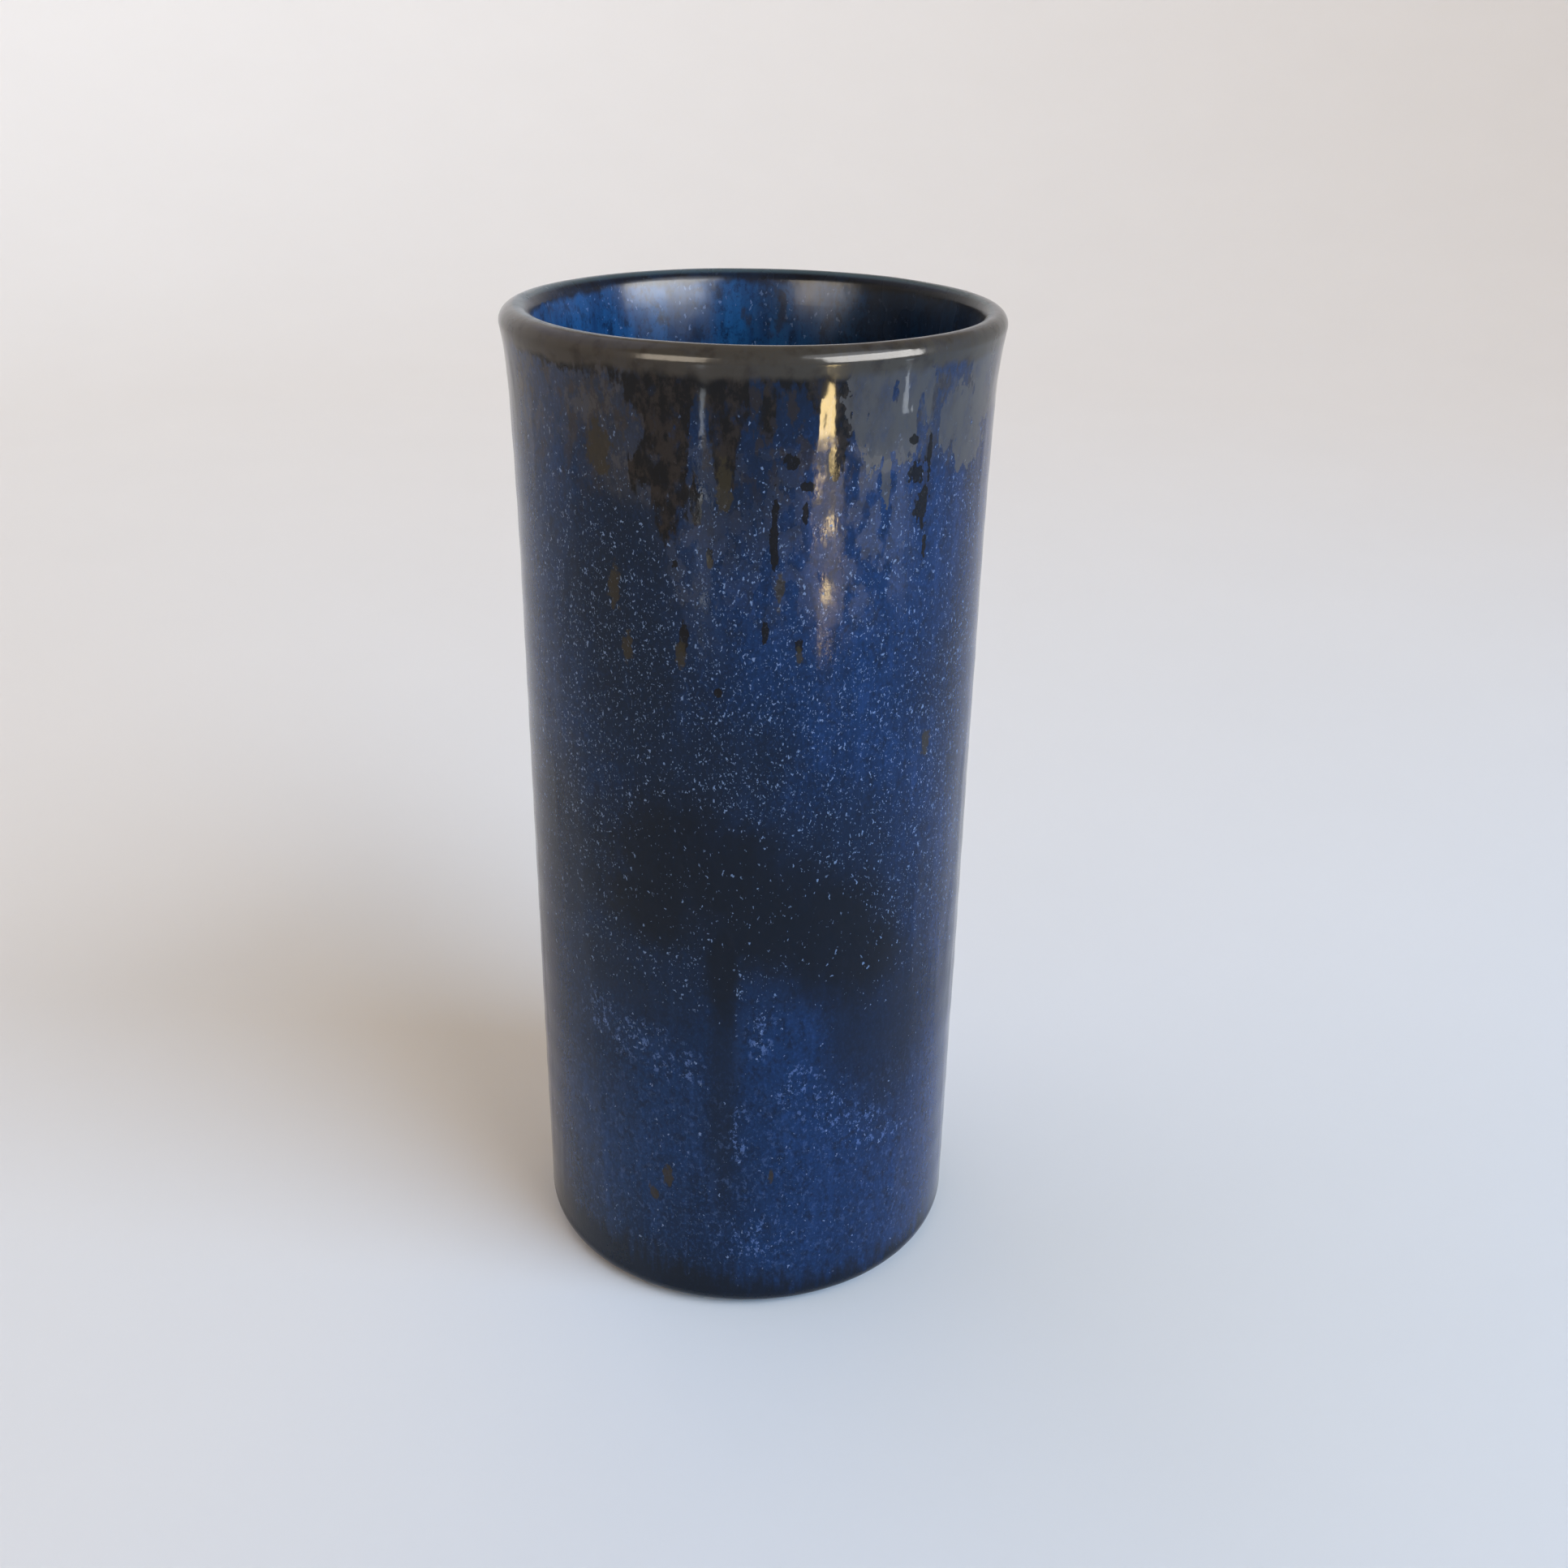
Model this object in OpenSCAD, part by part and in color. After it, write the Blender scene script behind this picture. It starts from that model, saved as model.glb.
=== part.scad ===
// Tall cylinder vase in stoneware, thrown on the wheel, turned at the foot and glazed.
// The outline is one line, the outer glaze face. Every other face is that line set inwards,
// so the coats and the clay meet face to face.
// Origin: centre of the foot ring on the table. +Z runs up the axis to the mouth.

/* [Outside] */
// Height from the table to the top of the lip
height = 190; // [150:1:240]
// Outside diameter of the straight body, over the glaze
body_diameter = 86; // [76:0.5:110]
// How far the neck opens outwards on each side
neck_flare = 0.8; // [0:0.1:2]
// Height of the gently opening neck
neck_height = 42; // [30:1:60]
// Extra outward turn on each side, close under the lip
lip_flare = 0.8; // [0:0.1:1.5]
// Height of that last outward turn
lip_turn_height = 12; // [10:1:20]
// Radius of the rounded clay edge where the wall meets the table
foot_rounding = 4.2; // [3:0.1:6]

/* [Wall and floor] */
// Thickness of the lip and upper wall, glaze on both sides included
lip_thickness = 5; // [4:0.1:6]
// Thickness the wall gains between the lip and the table
wall_taper = 1.4; // [0:0.1:3]
// Thickness of the clay floor above the foot recess
floor_thickness = 6; // [5:0.5:10]
// Radius of the hollow corner between the wall and the floor
inner_corner = 9; // [6:0.5:14]

/* [Foot ring] */
// Width of the flat ring that the vase stands on
foot_ring_width = 5.5; // [4:0.5:8]
// Depth of the turned recess inside the ring
foot_recess = 2.2; // [1.5:0.1:3]
// How far the hollow side of the recess reaches inwards
recess_cove = 3; // [2:0.5:6]

/* [Glaze] */
// Thickness of each glaze coat
glaze_thickness = 0.5; // [0.3:0.05:0.7]
// How much thicker the outer coat has run at its lower edge, as a factor
glaze_bead = 1.45; // [1:0.05:1.6]
// How far round the foot's rounded edge the outer coat runs, in degrees
glaze_end_angle = 42; // [20:1:45]
// Depth of the glaze pool on the floor
glaze_pool = 1.1; // [0.7:0.1:2]
// Height of the iron-brown coat on the outside, below the lip's rounding
rim_band_outside = 5; // [3:0.5:10]
// Height of the iron-brown coat on the inside, below the lip's rounding
rim_band_inside = 4; // [2:0.5:8]

/* [Hidden] */
clay_colour = [0.42, 0.33, 0.26];
outer_colour = [0.10, 0.17, 0.38];
inner_colour = [0.09, 0.24, 0.47];
rim_colour = [0.20, 0.17, 0.14];
// Fineness of the revolved solids
$fn = 180;
// Steps along each curved stretch of the outline
neck_steps = 14;
band_steps = 4;
half_lip_steps = 8;
wall_steps = 18;
corner_steps = 10;
foot_steps = 10;
cove_steps = 6;
// Bluntness of the rounded nose at the lower edge of the outer coat
nose_power = 6;
// Two outline points closer than this are one point
same_point = 0.0001;

body_radius = body_diameter / 2;
lip_radius = lip_thickness / 2;
lip_tilt = atan(2 * neck_flare / neck_height + 2 * lip_flare / lip_turn_height);
wall_top = height - lip_radius * (1 + sin(lip_tilt));
neck_start = wall_top - neck_height;
rim_line_outside = wall_top - rim_band_outside;
rim_line_inside = wall_top - rim_band_inside;
floor_top = foot_recess + floor_thickness;
corner_top = floor_top + inner_corner;
foot_centre = [body_radius - glaze_thickness - foot_rounding, foot_rounding];
ring_inner_radius = foot_centre[0] - foot_ring_width;
lip_centre = face_point(wall_top, lip_radius);
corner_centre = [clay_inner(corner_top)[0] - inner_corner, corner_top];

// Numbers from a to b in equal steps
function spread(a, b, steps) = [for (i = [0:steps]) a + (b - a) * i / steps];

function direction(angle) = [cos(angle), sin(angle)];

function reversed(list) = [for (i = [len(list) - 1:-1:0]) list[i]];

// True where stretch i of an outline begins at the point where the one before it ends
function joins(stretches, i) =
    i > 0 && norm(stretches[i][0] - stretches[i - 1][len(stretches[i - 1]) - 1]) < same_point;

// Stretches of outline laid end to end, with each shared end point once
function chain(stretches) =
    [for (i = [0:len(stretches) - 1])
        for (j = [joins(stretches, i) ? 1 : 0:len(stretches[i]) - 1])
            stretches[i][j]];

// Share of a stretch that ends at wall_top: 0 at its foot and below, 1 at its top
function climb(z, stretch) = max(0, (z - wall_top + stretch) / stretch);

// Radius of the outer glaze face at height z
function face_radius(z) =
    body_radius + neck_flare * pow(climb(z, neck_height), 2)
    + lip_flare * pow(climb(z, lip_turn_height), 2);

// Lean of the outer glaze face at height z, in degrees from upright
function face_lean(z) =
    atan(2 * neck_flare * climb(z, neck_height) / neck_height
    + 2 * lip_flare * climb(z, lip_turn_height) / lip_turn_height);

// The outer glaze face at height z, set inwards square to the face
function face_point(z, inset) =
    [face_radius(z) - inset * cos(face_lean(z)), z + inset * sin(face_lean(z))];

// Full thickness of the wall at height z, glaze included
function wall_thickness(z) = lip_thickness + wall_taper * pow(1 - z / wall_top, 2);

function clay_outer(z) = face_point(z, glaze_thickness);
function clay_inner(z) = face_point(z, wall_thickness(z) - glaze_thickness);
function glaze_outer(z) = face_point(z, 0);
function glaze_inner(z) = face_point(z, wall_thickness(z));

// Thickness of the outer coat round the foot, t from 0 at the wall to 1 at its lower edge
function foot_glaze(t) =
    glaze_thickness * (1 + (glaze_bead - 1) * sin(90 * t)) * sqrt(1 - pow(t, nose_power));

// Thickness of the inner coat round the hollow corner, t from 0 at the wall to 1 at the floor
function corner_glaze(t) =
    glaze_thickness + (glaze_pool - glaze_thickness) * pow(sin(90 * t), 2);

// The rounded lip from the outside over the top, at a radius from its centre
function lip_arc(radius) =
    [for (angle = lip_angles) lip_centre + radius * direction(angle)];

// Turned evenly on each side of the lip's highest point
lip_angles = concat(
    spread(-lip_tilt, 90, half_lip_steps),
    [for (i = [1:half_lip_steps]) 90 + (90 - lip_tilt) * i / half_lip_steps]
);

// Heights of the outline points, each list running up the outside or down the inside
outer_heights = concat([foot_rounding], spread(neck_start, rim_line_outside, neck_steps));
outer_band_heights = spread(rim_line_outside, wall_top, band_steps);
inner_band_heights = spread(wall_top, rim_line_inside, band_steps);
inner_heights = spread(rim_line_inside, corner_top, wall_steps);

// Stretches of the clay's outline that a coat of glaze lies against
clay_foot = [for (angle = spread(-glaze_end_angle, 0, foot_steps))
    foot_centre + foot_rounding * direction(angle)];
clay_outside = [for (z = outer_heights) clay_outer(z)];
clay_outer_band = [for (z = outer_band_heights) clay_outer(z)];
clay_lip = lip_arc(lip_radius - glaze_thickness);
clay_inner_band = [for (z = inner_band_heights) clay_inner(z)];
clay_inside = [for (z = inner_heights) clay_inner(z)];
clay_corner = [for (angle = spread(0, -90, corner_steps))
    corner_centre + inner_corner * direction(angle)];

module revolve(outline) {
    rotate_extrude() polygon(outline);
}

// Wall, floor and foot ring, thrown and turned from one lump of clay
module stoneware_body() {
    cove = [for (angle = spread(90, 0, cove_steps))
        [ring_inner_radius - recess_cove * (1 - cos(angle)), foot_recess * sin(angle)]];
    bare_foot = [for (angle = spread(-90, -glaze_end_angle, foot_steps))
        foot_centre + foot_rounding * direction(angle)];
    color(clay_colour)
        revolve(chain([
            [[0, foot_recess]], cove, bare_foot,
            clay_foot, clay_outside, clay_outer_band,
            clay_lip,
            clay_inner_band, clay_inside, clay_corner, [[0, floor_top]]
        ]));
}

// Blue coat on the outside, run into a bead just above the table
module outer_glaze() {
    // The bead's lowest point is the clay's own, where the outline closes
    bead = [for (i = [1:foot_steps]) let (t = 1 - i / foot_steps)
        foot_centre + (foot_rounding + foot_glaze(t)) * direction(-glaze_end_angle * t)];
    face = [for (z = outer_heights) glaze_outer(z)];
    color(outer_colour)
        revolve(chain([bead, face, reversed(clay_outside), reversed(clay_foot)]));
}

// Blue coat on the inside, with a pool over the floor
module inner_glaze() {
    face = [for (z = inner_heights) glaze_inner(z)];
    corner = [for (t = spread(0, 1, corner_steps))
        corner_centre + (inner_corner - corner_glaze(t)) * direction(-90 * t)];
    color(inner_colour)
        revolve(chain([
            face, corner, [[0, floor_top + glaze_pool], [0, floor_top]],
            reversed(clay_corner), reversed(clay_inside)
        ]));
}

// Iron-brown coat over the lip, butting the blue coats inside and outside
module rim_glaze() {
    outer_face = [for (z = outer_band_heights) glaze_outer(z)];
    inner_face = [for (z = inner_band_heights) glaze_inner(z)];
    color(rim_colour)
        revolve(chain([
            outer_face, lip_arc(lip_radius), inner_face,
            reversed(clay_inner_band), reversed(clay_lip), reversed(clay_outer_band)
        ]));
}

stoneware_body();
outer_glaze();
inner_glaze();
rim_glaze();
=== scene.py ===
# %% [markdown]
# # A stoneware cylinder vase, thrown, turned and glazed
# The real vase is one lump of clay pulled up on a potter's wheel. When it is leather-hard it is
# turned upside down and its foot is cut with a loop tool. After a first firing it gets three coats
# of glaze: blue inside, blue outside and iron brown over the lip. In the kiln they melt, run
# downwards and fade into each other.
#
# This lesson builds it the same way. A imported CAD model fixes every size, and the script makes
# finer pieces that stand in the same places: first the clay, then each coat.

# %% Load the frame
import math
import bpy
from mathutils import Matrix, Vector


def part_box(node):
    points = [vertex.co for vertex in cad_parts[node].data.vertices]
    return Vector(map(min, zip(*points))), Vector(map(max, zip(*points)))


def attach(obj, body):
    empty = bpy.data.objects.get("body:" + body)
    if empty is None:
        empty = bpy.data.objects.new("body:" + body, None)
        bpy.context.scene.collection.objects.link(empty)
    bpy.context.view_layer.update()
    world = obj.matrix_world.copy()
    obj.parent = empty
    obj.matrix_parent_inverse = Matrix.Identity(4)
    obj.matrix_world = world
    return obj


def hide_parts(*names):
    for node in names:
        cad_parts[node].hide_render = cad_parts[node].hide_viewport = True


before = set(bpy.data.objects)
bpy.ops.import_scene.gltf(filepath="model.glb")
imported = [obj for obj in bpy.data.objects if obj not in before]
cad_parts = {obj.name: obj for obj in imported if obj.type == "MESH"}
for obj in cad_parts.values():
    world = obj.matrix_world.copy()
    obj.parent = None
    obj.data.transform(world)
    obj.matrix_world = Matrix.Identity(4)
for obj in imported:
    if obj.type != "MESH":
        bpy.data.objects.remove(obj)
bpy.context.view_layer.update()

MM = 0.001
print("CAD nodes:", sorted(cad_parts))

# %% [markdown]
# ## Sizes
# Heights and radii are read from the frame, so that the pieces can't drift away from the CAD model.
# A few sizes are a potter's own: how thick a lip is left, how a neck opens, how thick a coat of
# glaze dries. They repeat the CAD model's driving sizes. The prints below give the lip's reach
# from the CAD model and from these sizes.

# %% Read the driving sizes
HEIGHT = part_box("rim_glaze")[1].z
LIP_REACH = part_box("rim_glaze")[1].x
FLOOR_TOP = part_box("inner_glaze")[0].z

BODY_RADIUS = 43 * MM
LIP_RADIUS = 2.5 * MM
NECK_FLARE, NECK_HEIGHT = 0.8 * MM, 42 * MM
LIP_FLARE, LIP_TURN = 0.8 * MM, 12 * MM
WALL_TAPER = 1.4 * MM
COAT = 0.5 * MM
POOL_DEPTH = 1.1 * MM
INNER_CORNER = 9 * MM
FOOT_ROUNDING = 4.2 * MM
FOOT_RECESS = 2.2 * MM
RING_WIDTH = 5.5 * MM
COVE = 3 * MM
COAT_END = math.radians(42)
BEAD = 1.45
RIM_BAND_OUTSIDE, RIM_BAND_INSIDE = 5 * MM, 4 * MM

LIP_TILT = math.atan(2 * NECK_FLARE / NECK_HEIGHT + 2 * LIP_FLARE / LIP_TURN)
WALL_TOP = HEIGHT - LIP_RADIUS * (1 + math.sin(LIP_TILT))
RIM_LINE_OUTSIDE = WALL_TOP - RIM_BAND_OUTSIDE
RIM_LINE_INSIDE = WALL_TOP - RIM_BAND_INSIDE
print(f"height {HEIGHT / MM:.2f} mm, lip reach {LIP_REACH / MM:.2f} mm")


# %% [markdown]
# ## Camera
# The vase is seen from a little above, at arm's length. An ordinary perspective camera is placed
# in front of it (the front is -Y), and turned by three angles: down, a touch to the right, and a
# touch of roll, as a camera held in the hand has.

# %% Place the camera
CAMERA_BACK = 0.2970
CAMERA_UP = 0.2355
LOOK_DOWN = math.radians(25.10)
PAN = math.radians(-1.312)
ROLL = math.radians(1.018)
LENS, SENSOR = 37.68, 36.0


def camera_matrix():
    """The camera's place and turn: right, up and back are its own three directions."""
    level = Vector((-math.sin(PAN), math.cos(PAN), 0))
    side = Vector((math.cos(PAN), math.sin(PAN), 0))
    ahead = level * math.cos(LOOK_DOWN) - Vector((0, 0, math.sin(LOOK_DOWN)))
    above = level * math.sin(LOOK_DOWN) + Vector((0, 0, math.cos(LOOK_DOWN)))
    right = side * math.cos(ROLL) + above * math.sin(ROLL)
    up = above * math.cos(ROLL) - side * math.sin(ROLL)
    turn = Matrix((right, up, -ahead)).transposed().to_4x4()
    return Matrix.Translation((0, -CAMERA_BACK, CAMERA_UP)) @ turn


camera_data = bpy.data.cameras.new("camera")
camera_data.lens = LENS
camera_data.sensor_width = SENSOR
camera_data.clip_start = 0.01
camera = bpy.data.objects.new("camera", camera_data)
camera.matrix_world = camera_matrix()
bpy.context.scene.collection.objects.link(camera)
bpy.context.scene.camera = camera
print("camera is", round(camera.location.length / MM), "mm from the foot")


# %% [markdown]
# ## Node helpers
# Materials and Geometry Nodes are both built from nodes in this script. A small class keeps that
# readable: it adds a node, feeds its inputs with numbers or links, and writes sums in one line.

# %% A helper that adds nodes to a tree
class Net:
    """Adds nodes to one node tree."""

    def __init__(self, tree):
        self.tree = tree

    def feed(self, socket, value):
        if isinstance(value, bpy.types.NodeSocket):
            self.tree.links.new(value, socket)
        else:
            socket.default_value = value

    def add(self, kind, inputs=None, **settings):
        node = self.tree.nodes.new(kind)
        for key, value in settings.items():
            setattr(node, key, value)
        for key, value in (inputs or {}).items():
            self.feed(node.inputs[key], value)
        return node

    def math(self, operation, *values):
        return self.add("ShaderNodeMath", dict(enumerate(values)), operation=operation).outputs[0]

    def total(self, *values):
        result = values[0]
        for value in values[1:]:
            result = self.math("ADD", result, value)
        return result

    def times(self, *values):
        result = values[0]
        for value in values[1:]:
            result = self.math("MULTIPLY", result, value)
        return result

    def largest(self, *values):
        result = values[0]
        for value in values[1:]:
            result = self.math("MAXIMUM", result, value)
        return result

    def ramp(self, value, start, end, low=0.0, high=1.0):
        """Climbs smoothly from low to high as value goes from start to end."""
        node = self.add(
            "ShaderNodeMapRange",
            {"Value": value, "From Min": start, "From Max": end, "To Min": low, "To Max": high},
            interpolation_type="SMOOTHSTEP",
        )
        return node.outputs["Result"]

    def scaled(self, vector, x, y, z):
        node = self.add("ShaderNodeVectorMath", {0: vector, 1: (x, y, z)}, operation="MULTIPLY")
        return node.outputs[0]

    def plus(self, a, b):
        return self.add("ShaderNodeVectorMath", {0: a, 1: b}, operation="ADD").outputs[0]

    def split(self, vector):
        node = self.add("ShaderNodeSeparateXYZ", {0: vector})
        return node.outputs[0], node.outputs[1], node.outputs[2]

    def noise(self, vector, detail=2.0, roughness=0.5, output="Fac"):
        node = self.add(
            "ShaderNodeTexNoise",
            {"Vector": vector, "Scale": 1.0, "Detail": detail, "Roughness": roughness},
        )
        return node.outputs[0 if output == "Fac" else 1]

    def swing(self, vector, amount, **kind):
        """Noise that swings evenly below and above zero, by up to about amount."""
        return self.times(self.math("SUBTRACT", self.noise(vector, **kind), 0.5), 2 * amount)

    def blend_number(self, share, a, b):
        """A number between a and b."""
        node = self.add("ShaderNodeMix", {0: share}, data_type="FLOAT")
        self.feed(node.inputs[2], a)
        self.feed(node.inputs[3], b)
        return node.outputs[0]

    def blend(self, share, a, b):
        """A colour between a and b."""
        node = self.add("ShaderNodeMix", {0: share}, data_type="RGBA")
        self.feed(node.inputs[6], a)
        self.feed(node.inputs[7], b)
        return node.outputs[2]


# %% [markdown]
# ## The outline
# A thrown pot is a solid of revolution: one outline, turned round. The outer glaze face is the
# leading line. Every other line is that one set inwards, so the coats lie on the clay with no gap.
# Each outline is a list of stops (radius, height, inside), where inside is 0 on the outer wall,
# 1 on the inner wall and in between over the lip.

# %% Lines of the wall
def climb(z, stretch):
    """0 up to a stretch below the top of the wall, and 1 at the top."""
    return max(0.0, (z - WALL_TOP + stretch) / stretch)


def wall_point(z, inset, inside):
    """The outer glaze face at height z, set inwards square to the face."""
    radius = BODY_RADIUS + NECK_FLARE * climb(z, NECK_HEIGHT) ** 2
    radius += LIP_FLARE * climb(z, LIP_TURN) ** 2
    lean = 2 * NECK_FLARE * climb(z, NECK_HEIGHT) / NECK_HEIGHT
    lean = math.atan(lean + 2 * LIP_FLARE * climb(z, LIP_TURN) / LIP_TURN)
    return (radius - inset * math.cos(lean), z + inset * math.sin(lean), inside)


def wall_thickness(z):
    """Clay and both coats: the lip's thickness at the top, and more towards the table."""
    return 2 * LIP_RADIUS + WALL_TAPER * (1 - z / WALL_TOP) ** 2


def spread(a, b, step):
    """Numbers from a to b, about a step apart."""
    count = max(1, round(abs(b - a) / step))
    return [a + (b - a) * i / count for i in range(count + 1)]


def outer_line(low, high, step, inset=0.0):
    return [wall_point(z, inset, 0.0) for z in spread(low, high, step)]


def inner_line(high, low, step, inset=0.0):
    return [wall_point(z, wall_thickness(z) - inset, 1.0) for z in spread(high, low, step)]


LIP_CENTRE = wall_point(WALL_TOP, LIP_RADIUS, 0.5)


def lip_line(radius, step_degrees=6):
    """The rounded lip, from the outside over the top to the inside."""
    line = []
    for angle in spread(-LIP_TILT, math.pi - LIP_TILT, math.radians(step_degrees)):
        share = (angle + LIP_TILT) / math.pi
        line.append((LIP_CENTRE[0] + radius * math.cos(angle),
                     LIP_CENTRE[1] + radius * math.sin(angle), share))
    return line


def joined(*lines):
    """Lines laid end to end, with each shared stop once."""
    outline = list(lines[0])
    for line in lines[1:]:
        gap = math.hypot(line[0][0] - outline[-1][0], line[0][1] - outline[-1][1])
        outline += line[1:] if gap < 0.001 * MM else line
    return outline


print(f"lip reaches {max(p[0] for p in lip_line(LIP_RADIUS)) / MM:.2f} mm out")

# %% Lines of the foot and floor
CORNER_TOP = FLOOR_TOP + INNER_CORNER
FOOT_CENTRE = (BODY_RADIUS - COAT - FOOT_ROUNDING, FOOT_ROUNDING)
CORNER_WALL = wall_point(CORNER_TOP, wall_thickness(CORNER_TOP) - COAT, 1)[0]
CORNER_CENTRE = (CORNER_WALL - INNER_CORNER, CORNER_TOP)
print(f"floor {FLOOR_TOP / MM:.1f} mm up, its corner {INNER_CORNER / MM:.0f} mm round")


def foot_line(start, end, steps, thickness=None):
    """Round the foot's edge, by angle below level, at the clay or at a coat's face."""
    line = []
    for angle in [start + (end - start) * i / steps for i in range(steps + 1)]:
        reach = FOOT_ROUNDING + (thickness(angle / COAT_END) if thickness else 0)
        line.append((FOOT_CENTRE[0] + reach * math.cos(angle),
                     FOOT_CENTRE[1] - reach * math.sin(angle), 0.0))
    return line


def foot_coat(t):
    """The coat's thickness round the foot: a bead that ends in a rounded nose at t = 1."""
    t = min(1.0, max(0.0, t))
    return COAT * (1 + (BEAD - 1) * math.sin(t * math.pi / 2)) * math.sqrt(1 - t ** 6)


def corner_coat(t):
    """The inner coat deepens round the corner until it is as deep as the pool."""
    return COAT + (POOL_DEPTH - COAT) * math.sin(t * math.pi / 2) ** 2


def corner_line(steps, thickness=None):
    """Round the hollow corner between the wall and the floor."""
    line = []
    for t in [i / steps for i in range(steps + 1)]:
        angle = t * math.pi / 2
        reach = INNER_CORNER - (thickness(t) if thickness else 0)
        line.append((CORNER_CENTRE[0] + reach * math.cos(angle),
                     CORNER_CENTRE[1] - reach * math.sin(angle), 1.0))
    return line


def floor_line(z, start, end, step=1.5 * MM):
    return [(r, z, 1.0) for r in spread(start, end, step)]


# %% [markdown]
# ## The wheel
# Blender could spin an outline with the Screw modifier, but a real pot is never that even. The
# potter's fingers leave soft rings that climb like a thread, the lip rises and falls, and the
# wall is thicker on one side. So a Geometry Nodes tree turns the outline: it lays out a grid,
# gives each column an angle, looks up each row's stop on the outline, and then moves the point
# as the hand did. Its inputs are named, so each piece of the vase can use the same wheel.
# Depths and the spacing are in millimetres.

# %% The wheel as a Geometry Nodes tree
WHEEL_INPUTS = (
    ("Turns", "NodeSocketInt", 384),
    ("Ring depth", "NodeSocketFloat", 0.045),
    ("Ring spacing", "NodeSocketFloat", 9.5),
    ("Hand wobble", "NodeSocketFloat", 0.16),
    ("Lip rise and fall", "NodeSocketFloat", 0.35),
    ("Bore off centre", "NodeSocketFloat", 0.75),
    ("Run height", "NodeSocketFloat", 0.0),
    ("Uneven coat edge", "NodeSocketFloat", 0.0),
    ("Seed", "NodeSocketFloat", 4.0),
    ("Finish", "NodeSocketMaterial", None),
)


def new_tree(name, inputs):
    tree = bpy.data.node_groups.new(name, "GeometryNodeTree")
    tree.interface.new_socket("Geometry", in_out="INPUT", socket_type="NodeSocketGeometry")
    for label, kind, value in inputs:
        socket = tree.interface.new_socket(label, in_out="INPUT", socket_type=kind)
        if value is not None:
            socket.default_value = value
    tree.interface.new_socket("Geometry", in_out="OUTPUT", socket_type="NodeSocketGeometry")
    net = Net(tree)
    return tree, net, net.add("NodeGroupInput").outputs, net.add("NodeGroupOutput").inputs[0]


MERGE_WITHIN = 0.002 * MM


def stop_value(net, profile, kind, value, row):
    """The value that the outline holds at a row."""
    node = net.add("GeometryNodeSampleIndex", data_type=kind)
    net.feed(node.inputs[0], profile)
    net.feed(node.inputs["Value"], value)
    net.feed(node.inputs["Index"], row)
    return node.outputs[0]


def run_pattern(net, place):
    """Where glaze has run in thick streaks: 0 between them, 1 on them. place is in mm."""
    streaks = net.noise(net.scaled(place, 0.11, 0.11, 0.012), detail=3, roughness=0.55)
    return net.ramp(streaks, 0.52, 0.66)


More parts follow.
